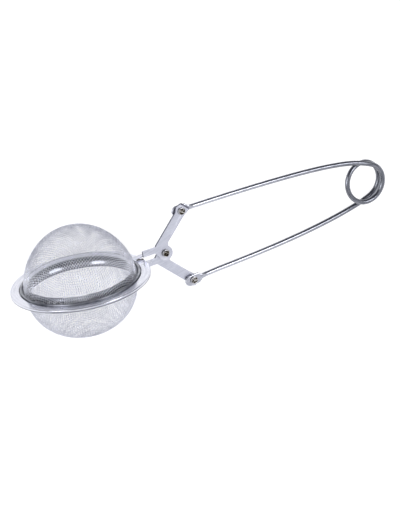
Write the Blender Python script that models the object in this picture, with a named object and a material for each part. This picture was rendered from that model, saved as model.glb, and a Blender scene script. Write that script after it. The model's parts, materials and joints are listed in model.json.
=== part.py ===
"""A tea infuser: a ball of wire mesh in two halves, opened by squeezing a sprung wire handle.

Lengths are millimetres in the ball's own frame, and become metres when a mesh is made. That
frame has its origin at the ball's centre, +Z along the ball's axis through the upper half, +X
towards the handle, and -Y towards the side that faces up when the infuser lies down. One
empty, rest_pose, then lays the infuser on the floor as it comes to rest on a table: on the
lower dome, the flange's lip and the coil.
"""

import math

import bmesh
import bpy
from mathutils import Matrix, Vector

MM = 0.001

# Ball: two domes of mesh, each held between a pressed rim and an inner ring.
BALL_R = 25.0
MESH_T = 0.5
GAP = 0.3
SKIRT_T = 0.3

# Lower rim: a flat flange with a turned-down lip, and a recessed seat inside it.
FLANGE_R = 31.2
RECESS_R = 27.0
SEAT_R = 24.6
SHEET_T = 0.45
LIP_DEPTH = 1.65
SEAT_DEPTH = 1.3
EDGE_ROUND = 0.35

# Upper rim: a folded ring that clasps the skirt of the upper mesh and drops into the recess.
FOLD_R = RECESS_R - GAP
FOLD_LIP_R = 25.7
FOLD_TOP = 0.6
FOLD_T = 0.4
FOLD_LIP_T = 0.3
FOLD_EDGE = 0.15

# Skirts: where each dome leaves the sphere, and how it flares out to be clasped.
UPPER_SKIRT_FROM = 0.9
UPPER_FLARE = ((BALL_R + 0.06, 0.4), (BALL_R + 0.3, 0.1))
UPPER_FLARE_INNER_R = BALL_R - 0.4
LOWER_SKIRT_FROM = 2.5
LOWER_SKIRT_R = RECESS_R - 0.8
LOWER_FLARE_R = BALL_R + 0.15
LOWER_FLARE_INNER_R = BALL_R - 0.55

# Inner rings: thin bands that press the mesh against the rims.
BAND_T = 0.4
UPPER_BAND_R = 24.0
UPPER_BAND_TOP = 2.7
UPPER_FOOT_BOTTOM = -0.8
LOWER_BAND_R = 23.8
LOWER_BAND_BOTTOM = -4.0
LOWER_FOOT_TOP = -1.15
BAND_FOOT_R = SEAT_R - GAP

# Levers: two stampings that share the pivot, mirrored about a plane at LEVER_Z.
LEVER_Z = -0.5
PIVOT_X = 41.3
RIVET_X = 52.1
RIVET_RISE = 16.5
PLATE_T = 1.0
LOBE_R = 3.3
LOBE_FROM_DEG = 195.0
LOBE_TO_DEG = 418.0
HEAD_ROUND = 0.35
STRIP_HALF = 2.15
STRIP_LEAN_DEG = 45.3
STRIP_BACK = 18.5
STRIP_FRONT = 14.8
ARM_BOTTOM = 1.4
ARM_TOP = 4.15
UPPER_ARM_END_X = 30.7
LOWER_ARM_END_X = 31.5
ELBOW_EASE_LOW = 1.2
ELBOW_EASE_TOP = 0.5
FOOT_T = 0.6
FOOT_X = 25.9
FOOT_SPAN = 3.2
FOOT_LAP = 2.4

# Corners of a lever's head about its rivet: how far along the strip, and how far to its left.
HEAD_CORNERS = ((-2.5, -2.15), (1.6, -2.45), (3.0, -2.95), (3.0, 1.8), (0.3, 3.3), (-2.2, 2.15))

# Rivets: a shank with a flat head at each end.
SHANK_R = 0.75
HEAD_DISC_R = 1.75
HEAD_DISC_T = 0.5
HEAD_CHAMFER = 0.15
HOLE_R = 1.05
FREE_HOLE_R = 1.45

# Handle: one sprung wire with a flattened tongue at each end and a coil.
WIRE_R = 1.1
COIL_X = 140.1
COIL_Z = 0.15
COIL_R = 8.8
COIL_PITCH = 4.2
COIL_SKEW = 0.16
COIL_SAMPLES = 240
TONGUE_HALF = 2.4
TONGUE_BACK = 4.0
TONGUE_FLAT = 7.9
TONGUE_LENGTH = 10.4
UPPER_JOIN_DEG = 55.0
LOWER_JOIN_DEG = -69.0
JOIN_GAP = 0.3

# How each arm bows: its slope at the tongue, and how long it holds its first and last direction.
UPPER_BOW = (-0.017, 43.8, 14.0)
LOWER_BOW = (0.103, 14.0, 24.0)

# Smoothness of the round shapes.
RING_STEPS = 56
DOME_RINGS = 11
WIRE_SIDES = 10
WIRE_STEP = 3.2
COIL_STEPS = 54

# Places that follow from the sizes above.
FRONT_Y = -(GAP + PLATE_T) / 2
BACK_Y = -FRONT_Y
COIL_TURNS = 1.0 + (UPPER_JOIN_DEG - LOWER_JOIN_DEG) / 360.0
COIL_HALF = COIL_PITCH * COIL_TURNS / 2
FOOT_BOTTOM = FOLD_TOP + GAP
SKIRT_TOP = FOLD_TOP - FOLD_LIP_T - GAP
LOWER_SKIRT_TOP = -SEAT_DEPTH - SHEET_T - GAP

# Colours, and the roughness of each metal.
WIRE_MESH = ((0.60, 0.61, 0.66, 1.0), 0.4)
PRESSED_STEEL = ((0.78, 0.79, 0.83, 1.0), 0.18)
RING_STEEL = ((0.34, 0.35, 0.38, 1.0), 0.3)
LEVER_STEEL = ((0.66, 0.67, 0.72, 1.0), 0.32)
RIVET_STEEL = ((0.45, 0.42, 0.38, 1.0), 0.35)
SPRING_STEEL = ((0.62, 0.63, 0.67, 1.0), 0.2)


def clear_scene():
    for obj in list(bpy.data.objects):
        bpy.data.objects.remove(obj, do_unlink=True)


def metal(name, finish):
    colour, roughness = finish
    material = bpy.data.materials.new(name)
    material.use_nodes = True
    shader = material.node_tree.nodes["Principled BSDF"]
    shader.inputs["Base Color"].default_value = colour
    shader.inputs["Metallic"].default_value = 1.0
    shader.inputs["Roughness"].default_value = roughness
    return material


def empty_at(name, place, parent=None):
    """An empty at a place in millimetres, in the ball's frame."""
    empty = bpy.data.objects.new(name, None)
    bpy.context.collection.objects.link(empty)
    empty.parent = parent
    empty.location = Vector(place) * MM
    empty.empty_display_size = 0.01
    return empty


def add_piece(name, builder, material, parent, origin=(0.0, 0.0, 0.0)):
    """Turn a bmesh in millimetres into an object whose parent sits at origin in the ball's frame."""
    bmesh.ops.translate(builder, verts=builder.verts, vec=-Vector(origin))
    bmesh.ops.scale(builder, verts=builder.verts, vec=(MM, MM, MM))
    bmesh.ops.recalc_face_normals(builder, faces=builder.faces)
    mesh = bpy.data.meshes.new(name)
    builder.to_mesh(mesh)
    builder.free()
    mesh.materials.append(material)
    mesh.shade_smooth()
    mesh.set_sharp_from_angle(angle=math.radians(35))
    obj = bpy.data.objects.new(name, mesh)
    bpy.context.collection.objects.link(obj)
    obj.parent = parent
    return obj


def arc(centre, radius, start_deg, end_deg, steps):
    """Points of an arc in a plane, from one angle to another."""
    points = []
    for i in range(steps + 1):
        angle = math.radians(start_deg + (end_deg - start_deg) * i / steps)
        points.append((centre[0] + radius * math.cos(angle), centre[1] + radius * math.sin(angle)))
    return points


def revolved(profile, steps=RING_STEPS):
    """Turn a closed outline of (radius, height) points about the ball's axis."""
    builder = bmesh.new()
    rings = []
    for radius, height in profile:
        if radius < 1e-6:
            rings.append([builder.verts.new((0.0, 0.0, height))] * steps)
            continue
        ring = []
        for i in range(steps):
            angle = 2 * math.pi * i / steps
            ring.append(builder.verts.new((radius * math.cos(angle), radius * math.sin(angle), height)))
        rings.append(ring)
    for k, ring in enumerate(rings):
        following = rings[(k + 1) % len(rings)]
        if ring[0] is ring[1] and following[0] is following[1]:
            continue
        for i in range(steps):
            j = (i + 1) % steps
            corners = [ring[i], ring[j], following[j], following[i]]
            distinct = list(dict.fromkeys(corners))
            builder.faces.new(distinct)
    return builder


def extruded(outline, low_y, high_y):
    """A flat plate whose (x, z) outline runs from low_y to high_y."""
    builder = bmesh.new()
    face = builder.faces.new([builder.verts.new((x, low_y, z)) for x, z in outline])
    grown = bmesh.ops.extrude_face_region(builder, geom=[face])
    moved = [item for item in grown["geom"] if isinstance(item, bmesh.types.BMVert)]
    bmesh.ops.translate(builder, verts=moved, vec=(0.0, high_y - low_y, 0.0))
    return builder


def disc(centre, radius, low_y, high_y, steps=24):
    """A round bar along Y, centred on an (x, z) point."""
    outline = arc(centre, radius, 0.0, 360.0 * (steps - 1) / steps, steps - 1)
    return extruded(outline, low_y, high_y)


def box(low, high):
    builder = bmesh.new()
    bmesh.ops.create_cube(builder, size=1.0)
    bmesh.ops.scale(builder, verts=builder.verts, vec=Vector(high) - Vector(low))
    bmesh.ops.translate(builder, verts=builder.verts, vec=(Vector(high) + Vector(low)) / 2)
    return builder


def combine(target, name, builder, operation, origin=(0.0, 0.0, 0.0)):
    """Cut a tool from a piece, or join it on, with an exact Boolean."""
    tool = add_piece(name, builder, target.data.materials[0], target.parent, origin)
    tool.hide_render = True
    tool.display_type = "WIRE"
    modifier = target.modifiers.new(name, "BOOLEAN")
    modifier.operation = operation
    modifier.solver = "EXACT"
    modifier.object = tool


def drill(target, name, centre, radius, origin=(0.0, 0.0, 0.0)):
    """A hole through a plate along Y."""
    reach = 4 * PLATE_T
    combine(target, name, disc(centre, radius, -reach, reach), "DIFFERENCE", origin)


def dome_profile(top_height, skirt, inner_edge):
    """The outline of one mesh dome, standing up: outer arc, flared skirt, inner arc."""
    inner_r = BALL_R - MESH_T
    outer_deg = math.degrees(math.asin(top_height / BALL_R))
    inner_deg = math.degrees(math.asin(top_height / inner_r))
    outside = arc((0.0, 0.0), BALL_R, 90.0, outer_deg, DOME_RINGS)
    inside = arc((0.0, 0.0), inner_r, inner_deg, 90.0, DOME_RINGS)
    outside[0] = (0.0, BALL_R)
    inside[-1] = (0.0, inner_r)
    return outside + skirt + inner_edge + inside


def make_upper_mesh_dome(parent):
    edge_r = FOLD_R - FOLD_T - GAP
    bottom = SKIRT_TOP - SKIRT_T
    skirt = [*UPPER_FLARE, (edge_r, SKIRT_TOP), (edge_r, bottom)]
    inner_edge = [(BALL_R, bottom), (UPPER_FLARE_INNER_R, UPPER_FLARE[1][1])]
    profile = dome_profile(UPPER_SKIRT_FROM, skirt, inner_edge)
    return add_piece("upper_mesh_dome", revolved(profile), MESH_METAL, parent, PIVOT)


def make_lower_mesh_dome(parent):
    top = -LOWER_SKIRT_TOP
    bottom = top + SKIRT_T
    skirt = [(LOWER_FLARE_R, bottom), (LOWER_SKIRT_R, bottom), (LOWER_SKIRT_R, top)]
    standing = dome_profile(LOWER_SKIRT_FROM, skirt, [(LOWER_FLARE_INNER_R, top)])
    profile = [(r, -z) for r, z in standing]
    return add_piece("lower_mesh_dome", revolved(profile), MESH_METAL, parent)


def make_lower_rim(parent):
    corner = arc((FLANGE_R - EDGE_ROUND, -EDGE_ROUND), EDGE_ROUND, 0.0, 90.0, 3)
    profile = [(FLANGE_R, -LIP_DEPTH)] + corner
    profile += [(RECESS_R + EDGE_ROUND / 2, 0.0), (RECESS_R, -EDGE_ROUND / 2)]
    profile += [(RECESS_R, -SEAT_DEPTH), (SEAT_R, -SEAT_DEPTH)]
    profile += [(SEAT_R, -SEAT_DEPTH - SHEET_T), (RECESS_R + SHEET_T, -SEAT_DEPTH - SHEET_T)]
    profile += [(RECESS_R + SHEET_T, -SHEET_T), (FLANGE_R - SHEET_T, -SHEET_T)]
    profile += [(FLANGE_R - SHEET_T, -LIP_DEPTH)]
    return add_piece("lower_rim", revolved(profile), RIM_METAL, parent)


def make_upper_rim(parent):
    floor = -SEAT_DEPTH + GAP
    lip_bottom = FOLD_TOP - FOLD_LIP_T
    profile = [(SEAT_R, floor), (FOLD_R, floor), (FOLD_R, FOLD_TOP - FOLD_EDGE)]
    profile += [(FOLD_R - FOLD_EDGE, FOLD_TOP), (FOLD_LIP_R, FOLD_TOP), (FOLD_LIP_R, lip_bottom)]
    profile += [(FOLD_R - FOLD_T, lip_bottom), (FOLD_R - FOLD_T, floor + FOLD_T)]
    profile += [(SEAT_R, floor + FOLD_T)]
    return add_piece("upper_rim", revolved(profile), RIM_METAL, parent, PIVOT)


def make_upper_mesh_retainer(parent):
    bottom = UPPER_FOOT_BOTTOM
    foot_top = bottom + BAND_T
    inner_r = UPPER_BAND_R - BAND_T
    profile = [(inner_r, bottom), (BAND_FOOT_R, bottom), (BAND_FOOT_R, foot_top)]
    profile += [(UPPER_BAND_R, foot_top), (UPPER_BAND_R, UPPER_BAND_TOP), (inner_r, UPPER_BAND_TOP)]
    return add_piece("upper_mesh_retainer", revolved(profile), RING_METAL, parent, PIVOT)


def make_lower_mesh_retainer(parent):
    top = LOWER_FOOT_TOP
    foot_bottom = top - BAND_T
    inner_r = LOWER_BAND_R - BAND_T
    profile = [(inner_r, LOWER_BAND_BOTTOM), (LOWER_BAND_R, LOWER_BAND_BOTTOM)]
    profile += [(LOWER_BAND_R, foot_bottom), (BAND_FOOT_R, foot_bottom), (BAND_FOOT_R, top)]
    profile += [(inner_r, top)]
    return add_piece("lower_mesh_retainer", revolved(profile), RING_METAL, parent)


def rounded(corners, radius, steps=4):
    """An open run of corners, each inner one rounded."""
    outline = [tuple(corners[0])]
    for before, here, after in zip(corners, corners[1:], corners[2:]):
        back = (before - here).normalized()
        ahead = (after - here).normalized()
        reach = min(radius, (before - here).length * 0.45, (after - here).length * 0.45)
        for i in range(steps + 1):
            t = i / steps
            point = (here + back * reach) * (1 - t) ** 2 + here * 2 * t * (1 - t)
            outline.append(tuple(point + (here + ahead * reach) * t * t))
    return outline + [tuple(corners[-1])]


def lever_outline(arm_end_x):
    """A lever's outline as (x, rise from the lever plane): arm, pivot lobe, slanted strip, head."""
    rivet = Vector((RIVET_X, RIVET_RISE))
    lean = math.radians(STRIP_LEAN_DEG)
    along = Vector((math.cos(lean), math.sin(lean)))
    left = Vector((-along.y, along.x))
    elbow = rivet - along * STRIP_BACK + left * STRIP_HALF
    crook = rivet - along * STRIP_FRONT - left * STRIP_HALF
    head = [rivet + along * ahead + left * aside for ahead, aside in HEAD_CORNERS]
    outline = [(arm_end_x, ARM_BOTTOM), (elbow.x - ELBOW_EASE_LOW, ARM_BOTTOM)]
    outline += arc((PIVOT_X, 0.0), LOBE_R, LOBE_FROM_DEG, LOBE_TO_DEG, 15)
    outline += [tuple(crook)]
    outline += rounded(head, HEAD_ROUND)
    outline += [tuple(elbow), (elbow.x - ELBOW_EASE_TOP, ARM_TOP), (arm_end_x, ARM_TOP)]
    return outline


def make_lever(name, upper, parent, origin):
    """One lever: the stamping, its foot bent flat against the rim, and its two rivet holes."""
    side = 1.0 if upper else -1.0
    middle_y = FRONT_Y if upper else BACK_Y
    arm_end_x = UPPER_ARM_END_X if upper else LOWER_ARM_END_X
    outline = [(x, LEVER_Z + side * rise) for x, rise in lever_outline(arm_end_x)]
    low_y = middle_y - PLATE_T / 2
    plate = extruded(outline, low_y, low_y + PLATE_T)
    lever = add_piece(name, plate, LEVER_METAL, parent, origin)
    lap_x = arm_end_x + FOOT_LAP
    if upper:
        low = (FOOT_X, low_y, FOOT_BOTTOM)
        high = (lap_x, low_y + FOOT_SPAN, FOOT_BOTTOM + FOOT_T)
    else:
        top = -LIP_DEPTH - GAP
        low = (RECESS_R + SHEET_T + GAP, low_y + PLATE_T - FOOT_SPAN, top - FOOT_T)
        high = (lap_x, low_y + PLATE_T, top)
    combine(lever, name + "_foot", box(low, high), "UNION", origin)
    rivet_hole = (RIVET_X, LEVER_Z + side * RIVET_RISE)
    drill(lever, name + "_pivot_hole", (PIVOT_X, LEVER_Z), HOLE_R, origin)
    drill(lever, name + "_rivet_hole", rivet_hole, HOLE_R, origin)
    return lever


def make_rivet(name, centre, parent, origin=(0.0, 0.0, 0.0)):
    """A rivet along Y that clasps both plates: one turned solid, stood on its side."""
    grip = GAP / 2 + PLATE_T + GAP
    tip = grip + HEAD_DISC_T
    flat_r = HEAD_DISC_R - HEAD_CHAMFER
    side = [(flat_r, -tip), (HEAD_DISC_R, -tip + HEAD_CHAMFER), (HEAD_DISC_R, -grip)]
    side += [(SHANK_R, -grip), (SHANK_R, grip), (HEAD_DISC_R, grip)]
    side += [(HEAD_DISC_R, tip - HEAD_CHAMFER), (flat_r, tip)]
    builder = revolved([(0.0, -tip)] + side + [(0.0, tip)], 24)
    bmesh.ops.rotate(builder, verts=builder.verts, matrix=Matrix.Rotation(math.radians(90), 3, "X"))
    bmesh.ops.translate(builder, verts=builder.verts, vec=(centre[0], 0.0, centre[1]))
    return add_piece(name, builder, RIVET_METAL, parent, origin)


def smoothstep(value):
    value = min(1.0, max(0.0, value))
    return value * value * (3 - 2 * value)


def lofted(path, halves, sides=WIRE_SIDES):
    """Sweep an oval along a path; halves gives its half width and half thickness at each point."""
    builder = bmesh.new()
    rings = []
    for i, point in enumerate(path):
        before = path[max(i - 1, 0)]
        after = path[min(i + 1, len(path) - 1)]
        along = (after - before).normalized()
        across = along.cross(Vector((0.0, 1.0, 0.0))).normalized()
        through = across.cross(along).normalized()
        wide, thick = halves[i]
        ring = []
        for k in range(sides):
            angle = 2 * math.pi * (k + 0.5) / sides
            offset = across * (wide * math.cos(angle)) + through * (thick * math.sin(angle))
            ring.append(builder.verts.new(point + offset))
        rings.append(ring)
    for ring, following in zip(rings, rings[1:]):
        for k in range(sides):
            j = (k + 1) % sides
            builder.faces.new([ring[k], ring[j], following[j], following[k]])
    builder.faces.new(list(reversed(rings[0])))
    builder.faces.new(rings[-1])
    return builder


def coil_point(angle_deg, along):
    """A point of the coil's centreline; along runs from 0 at the upper arm to 1 at the lower.

    The coil sits slightly askew: its far side is set back.
    """
    angle = math.radians(angle_deg)
    y = -COIL_HALF + 2 * COIL_HALF * along + COIL_SKEW * COIL_R * math.cos(angle)
    return Vector((COIL_X + COIL_R * math.cos(angle), y, COIL_Z + COIL_R * math.sin(angle)))


def arm_path(upper):
    """The centreline of one arm, from the tongue's rounded end to where the coil begins."""
    side = 1.0 if upper else -1.0
    join_deg = UPPER_JOIN_DEG if upper else LOWER_JOIN_DEG
    tongue_y = BACK_Y if upper else FRONT_Y
    coil_y = coil_point(join_deg, 0.0 if upper else 1.0).y
    slope, first_pull, last_pull = UPPER_BOW if upper else LOWER_BOW
    direction = Vector((1.0, 0.0, slope)).normalized()
    rivet = Vector((RIVET_X, 0.0, LEVER_Z + side * RIVET_RISE))
    start = rivet + direction * (TONGUE_LENGTH - TONGUE_BACK)
    join = coil_point(join_deg, 0.0)
    join.y = 0.0
    angle = math.radians(join_deg)
    tangent = Vector((math.sin(angle), 0.0, -math.cos(angle))) * side
    points = [rivet + direction * (s - TONGUE_BACK) for s in TONGUE_STATIONS]
    count = round((join - start).length / WIRE_STEP)
    last = 1.0 - JOIN_GAP / (3 * last_pull)
    for i in range(1, count + 1):
        t = last * i / count
        a, b, c, d = start, start + direction * first_pull, join - tangent * last_pull, join
        point = a * (1 - t) ** 3 + b * 3 * t * (1 - t) ** 2 + c * 3 * t * t * (1 - t) + d * t ** 3
        points.append(point)
    for point in points:
        share = smoothstep((point.x - start.x) / (join.x - start.x))
        point.y = tongue_y + (coil_y - tongue_y) * share
    return points


def arm_halves(count):
    """The half width and half thickness along an arm: a rounded flat tongue that turns into wire."""
    halves = []
    for s in TONGUE_STATIONS:
        if s < TONGUE_HALF:
            wide = math.sqrt(TONGUE_HALF ** 2 - (TONGUE_HALF - s) ** 2)
        else:
            wide = TONGUE_HALF
        share = smoothstep((s - TONGUE_FLAT) / (TONGUE_LENGTH - TONGUE_FLAT))
        wide += (WIRE_R - wide) * share
        flat = PLATE_T / 2
        halves.append((wide, flat + (WIRE_R - flat) * share))
    halves += [(WIRE_R, WIRE_R)] * (count - len(TONGUE_STATIONS))
    return halves


def make_handle_arm(name, upper, parent, origin):
    side = 1.0 if upper else -1.0
    path = arm_path(upper)
    builder = lofted(path, arm_halves(len(path)))
    arm = add_piece(name, builder, SPRING_METAL, parent, origin)
    hole_r = FREE_HOLE_R if upper else HOLE_R
    drill(arm, name + "_hole", (RIVET_X, LEVER_Z + side * RIVET_RISE), hole_r, origin)
    return arm


def make_coil(parent, origin):
    """One and a third turns of wire, from the end of the upper arm to the end of the lower."""
    turn = -360.0 * COIL_TURNS
    points = []
    for i in range(COIL_STEPS + 1):
        along = i / COIL_STEPS
        points.append(coil_point(UPPER_JOIN_DEG + turn * along, along))
    builder = lofted(points, [(WIRE_R, WIRE_R)] * len(points))
    return add_piece("handle_coil", builder, SPRING_METAL, parent, origin)


def resting_tilt():
    """The floor's upward direction in the ball's frame when dome, flange lip and coil all touch it."""
    reach = math.hypot(FLANGE_R, LIP_DEPTH)
    lip_angle = math.atan2(LIP_DEPTH, FLANGE_R)
    lean = math.asin(BALL_R / reach) - lip_angle
    up_z = math.cos(lean)
    up_x = 0.0
    turn = -360.0 * COIL_TURNS
    coil = []
    for i in range(COIL_SAMPLES + 1):
        along = i / COIL_SAMPLES
        coil.append(coil_point(UPPER_JOIN_DEG + turn * along, along))
    for _ in range(20):
        up_y = -math.sqrt(1.0 - up_z ** 2 - up_x ** 2)
        reaches = [-up_x * (p.x - COIL_X) - up_y * p.y - up_z * p.z for p in coil]
        up_x = -(BALL_R - WIRE_R - max(reaches)) / COIL_X
    return Vector((up_x, up_y, up_z))


def lay_down(root):
    """Turn the root so that the infuser rests on the floor, with its length along +X."""
    up = resting_tilt()
    forward = (Vector((1.0, 0.0, 0.0)) - up * up.x).normalized()
    sideways = up.cross(forward)
    root.matrix_world = Matrix((forward, sideways, up)).to_4x4()
    bpy.context.view_layer.update()
    graph = bpy.context.evaluated_depsgraph_get()
    corners = []
    for obj in bpy.data.objects:
        if obj.type == "MESH" and not obj.hide_render:
            shape = obj.evaluated_get(graph)
            corners += [obj.matrix_world @ v.co for v in shape.data.vertices]
    lows = Vector([min(c[i] for c in corners) for i in range(3)])
    highs = Vector([max(c[i] for c in corners) for i in range(3)])
    middle = (lows + highs) / 2
    root.location = (-middle.x, -middle.y, -lows.z)


PIVOT = (PIVOT_X, 0.0, LEVER_Z)
LOWER_RIVET = (RIVET_X, 0.0, LEVER_Z - RIVET_RISE)
COIL = (COIL_X, 0.0, COIL_Z)
TONGUE_ROUND = [TONGUE_HALF * (1 - math.cos(math.radians(a))) for a in (14, 30, 46, 62, 78, 90)]
TONGUE_TAPER = [TONGUE_FLAT + (TONGUE_LENGTH - TONGUE_FLAT) * i / 5 for i in range(6)]
TONGUE_STATIONS = TONGUE_ROUND + TONGUE_TAPER

clear_scene()
MESH_METAL = metal("wire_mesh", WIRE_MESH)
RIM_METAL = metal("pressed_steel", PRESSED_STEEL)
RING_METAL = metal("ring_steel", RING_STEEL)
LEVER_METAL = metal("lever_steel", LEVER_STEEL)
RIVET_METAL = metal("rivet_metal", RIVET_STEEL)
SPRING_METAL = metal("spring_wire", SPRING_STEEL)

rest_pose = empty_at("rest_pose", (0.0, 0.0, 0.0))
jaw_axis = empty_at("jaw_pivot_axis", PIVOT, rest_pose)
lower_handle_axis = empty_at("lower_rivet_axis", LOWER_RIVET, rest_pose)
coil_axis = empty_at("coil_axis", Vector(COIL) - Vector(LOWER_RIVET), lower_handle_axis)

make_lower_mesh_dome(rest_pose)
make_lower_rim(rest_pose)
make_lower_mesh_retainer(rest_pose)
make_lever("lower_lever", False, rest_pose, (0.0, 0.0, 0.0))
make_rivet("pivot_rivet", (PIVOT_X, LEVER_Z), rest_pose)
make_rivet("lower_handle_rivet", (RIVET_X, LEVER_Z - RIVET_RISE), rest_pose)

make_upper_mesh_dome(jaw_axis)
make_upper_rim(jaw_axis)
make_upper_mesh_retainer(jaw_axis)
make_lever("upper_lever", True, jaw_axis, PIVOT)
make_rivet("upper_handle_rivet", (RIVET_X, LEVER_Z + RIVET_RISE), jaw_axis, PIVOT)

make_handle_arm("handle_wire_lower", False, lower_handle_axis, LOWER_RIVET)
make_coil(lower_handle_axis, LOWER_RIVET)
make_handle_arm("handle_wire_upper", True, coil_axis, COIL)

lay_down(rest_pose)
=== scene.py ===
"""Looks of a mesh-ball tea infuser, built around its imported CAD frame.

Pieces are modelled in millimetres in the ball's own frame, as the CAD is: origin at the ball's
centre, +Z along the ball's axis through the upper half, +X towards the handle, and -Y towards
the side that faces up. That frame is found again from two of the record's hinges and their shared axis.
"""

import json
import math

import bmesh
import bpy
import numpy as np
from mathutils import Matrix, Vector


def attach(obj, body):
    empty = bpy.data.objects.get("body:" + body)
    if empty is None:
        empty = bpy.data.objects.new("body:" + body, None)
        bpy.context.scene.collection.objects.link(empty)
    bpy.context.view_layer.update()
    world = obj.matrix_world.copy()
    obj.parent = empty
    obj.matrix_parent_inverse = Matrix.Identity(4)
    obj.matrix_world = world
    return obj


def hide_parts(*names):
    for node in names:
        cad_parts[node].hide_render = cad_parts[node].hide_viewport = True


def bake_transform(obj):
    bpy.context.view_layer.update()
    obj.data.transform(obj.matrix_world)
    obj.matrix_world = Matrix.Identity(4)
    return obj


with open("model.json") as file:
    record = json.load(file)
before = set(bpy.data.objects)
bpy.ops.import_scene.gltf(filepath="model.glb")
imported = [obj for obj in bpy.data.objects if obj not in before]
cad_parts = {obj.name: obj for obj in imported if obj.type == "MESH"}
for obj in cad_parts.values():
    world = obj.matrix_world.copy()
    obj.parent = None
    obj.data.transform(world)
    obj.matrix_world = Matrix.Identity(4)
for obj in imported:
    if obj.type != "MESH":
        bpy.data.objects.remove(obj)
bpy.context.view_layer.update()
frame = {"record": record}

MM = 0.001

# Sockets of the Mix node, by index: factor, the two colours and the mixed colour.
MIX_FACTOR = 0
MIX_FIRST = 6
MIX_SECOND = 7
MIX_COLOUR = 2

# Places of the hinges in the ball's frame.
PIVOT = (41.3, -0.5)
COIL = (140.1, 0.15)
RIVET_X = 52.1
RIVET_RISE = 16.5
LEVER_Z = PIVOT[1]

# Ball and rims. A trim draws a dome in between its crown and its skirt, or swells it.
MESH_R = 24.75
UPPER_TRIM = 0.45
LOWER_TRIM = -0.7
WIRE_PITCH = 1.07
MESH_WIRE_R = 0.1
CLOTH_SPIN_DEG = 20.0
FLANGE_R = 31.0
RECESS_R = 27.0
SEAT_R = 24.6
SHEET_T = 0.45
LIP_DEPTH = 1.65
SHOWN_LIP = 1.4
SEAT_DEPTH = 1.3
GAP = 0.3

# Levers. The strip runs from the pivot lobe to the head, and leans from the arm.
PLATE_T = 1.0
FOOT_T = 0.6
FOOT_WIDTH = 3.2
FOOT_LAP = 2.4
UPPER_FOOT_X = 25.9
UPPER_FOOT_Z = 0.9
LOWER_FOOT_X = 27.75
FRONT_Y = -(GAP + PLATE_T) / 2
BACK_Y = -FRONT_Y
UPPER_ARM_END_X = 30.7
LOWER_ARM_END_X = 31.5
ARM_BOTTOM = 1.4
ARM_TOP = 4.15
LOBE_R = 3.3
STRIP_LEAN_DEG = 45.3
STRIP_HALF = 2.15
ELBOW_BACK = 18.5
CROOK_BACK = 14.8
HEAD_CORNERS = ((-2.5, -2.15), (1.6, -2.45), (3.0, -2.95), (3.0, 1.8), (0.3, 3.3), (-2.2, 2.15))
HEAD_ROUND = 0.35
EDGE_BEVEL = 0.22

# Rivets and their holes.
HOLE_R = 1.05
FREE_HOLE_R = 1.45
RIVET_HEAD_R = 1.75
RIVET_SHANK_R = 0.75
RIVET_CENTRE_R = 1.4
RIVET_CROWN = 0.5
DRILL_HALF = 4.0

# Handle.
HANDLE_R = 1.1
COIL_R = 8.8
COIL_PITCH = 4.2
COIL_SKEW = 0.16
UPPER_JOIN_DEG = 55.0
LOWER_JOIN_DEG = -69.0
COIL_TURNS = 1.0 + (UPPER_JOIN_DEG - LOWER_JOIN_DEG) / 360.0
COIL_HALF = COIL_PITCH * COIL_TURNS / 2
COIL_STEPS = 120
WIRE_SIDES = 20
WIRE_STEP = 1.2
TONGUE_HALF = 2.4
TONGUE_HALF_T = 0.5
TONGUE_BACK = 4.0
TONGUE_NARROW = 6.3
NARROW_RUN = 2.2
TONGUE_FLAT = 7.9
TONGUE_LENGTH = 10.4

# Each arm's bow: the slope it leaves its tongue with, and its pulls at the tongue and the coil.
UPPER_BOW = (-0.017, 43.8, 14.0)
LOWER_BOW = (0.103, 14.0, 24.0)

# Distances along the wire for its painted shade: its middle, and how far from there the painted shade
# starts and stops fading.
WIRE_MIDDLE = 134.6
SHADE_FADE_START = 48.0
SHADE_FADE_END = 125.0


def find_ball_frame():
    """The ball frame in metres, from the positions of the jaw pivot and the coil hinge and the hinges'
    shared axis.
    """
    joints = {j["name"]: j for j in frame["record"]["behaviour"]["joints"]}
    pivot = Vector(joints["jaw_pivot"]["pos_m"])
    coil = Vector(joints["coil_flex"]["pos_m"])
    y_axis = Vector(joints["jaw_pivot"]["axis"]).normalized()
    towards = coil - pivot
    towards = (towards - y_axis * towards.dot(y_axis)).normalized()
    upwards = towards.cross(y_axis)
    rise = math.atan2(COIL[1] - PIVOT[1], COIL[0] - PIVOT[0])
    x_axis = math.cos(rise) * towards - math.sin(rise) * upwards
    z_axis = math.sin(rise) * towards + math.cos(rise) * upwards
    centre = pivot - (PIVOT[0] * x_axis + PIVOT[1] * z_axis) * MM
    turn = Matrix((x_axis, y_axis, z_axis)).transposed().to_4x4()
    return Matrix.Translation(centre) @ turn @ Matrix.Scale(MM, 4)


PLACE = find_ball_frame()
PLACE_NP = np.array(PLACE)


def to_row(points):
    """Points in the ball's frame, in millimetres, as row-frame metres."""
    points = np.asarray(points, float)
    return points @ PLACE_NP[:3, :3].T + PLACE_NP[:3, 3]


def direction(x, y, z):
    """A unit direction in the row frame, from one in the ball's frame."""
    return (PLACE.to_3x3() @ Vector((x, y, z))).normalized()


# ---------------------------------------------------------------- materials


def node(tree, kind, **inputs):
    """A new node with some of its inputs set."""
    made = tree.nodes.new(kind)
    for name, value in inputs.items():
        made.inputs[name.replace("_", " ")].default_value = value
    return made


def new_metal(name, colour, roughness, anisotropic=0.0):
    """A metal of one colour and roughness, ready for textures on either."""
    material = bpy.data.materials.new(name)
    material.use_nodes = True
    tree = material.node_tree
    shader = tree.nodes["Principled BSDF"]
    shader.inputs["Base Color"].default_value = (*colour, 1.0)
    shader.inputs["Metallic"].default_value = 1.0
    shader.inputs["Roughness"].default_value = roughness
    shader.inputs["Anisotropic"].default_value = anisotropic
    return material, tree, shader


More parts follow.
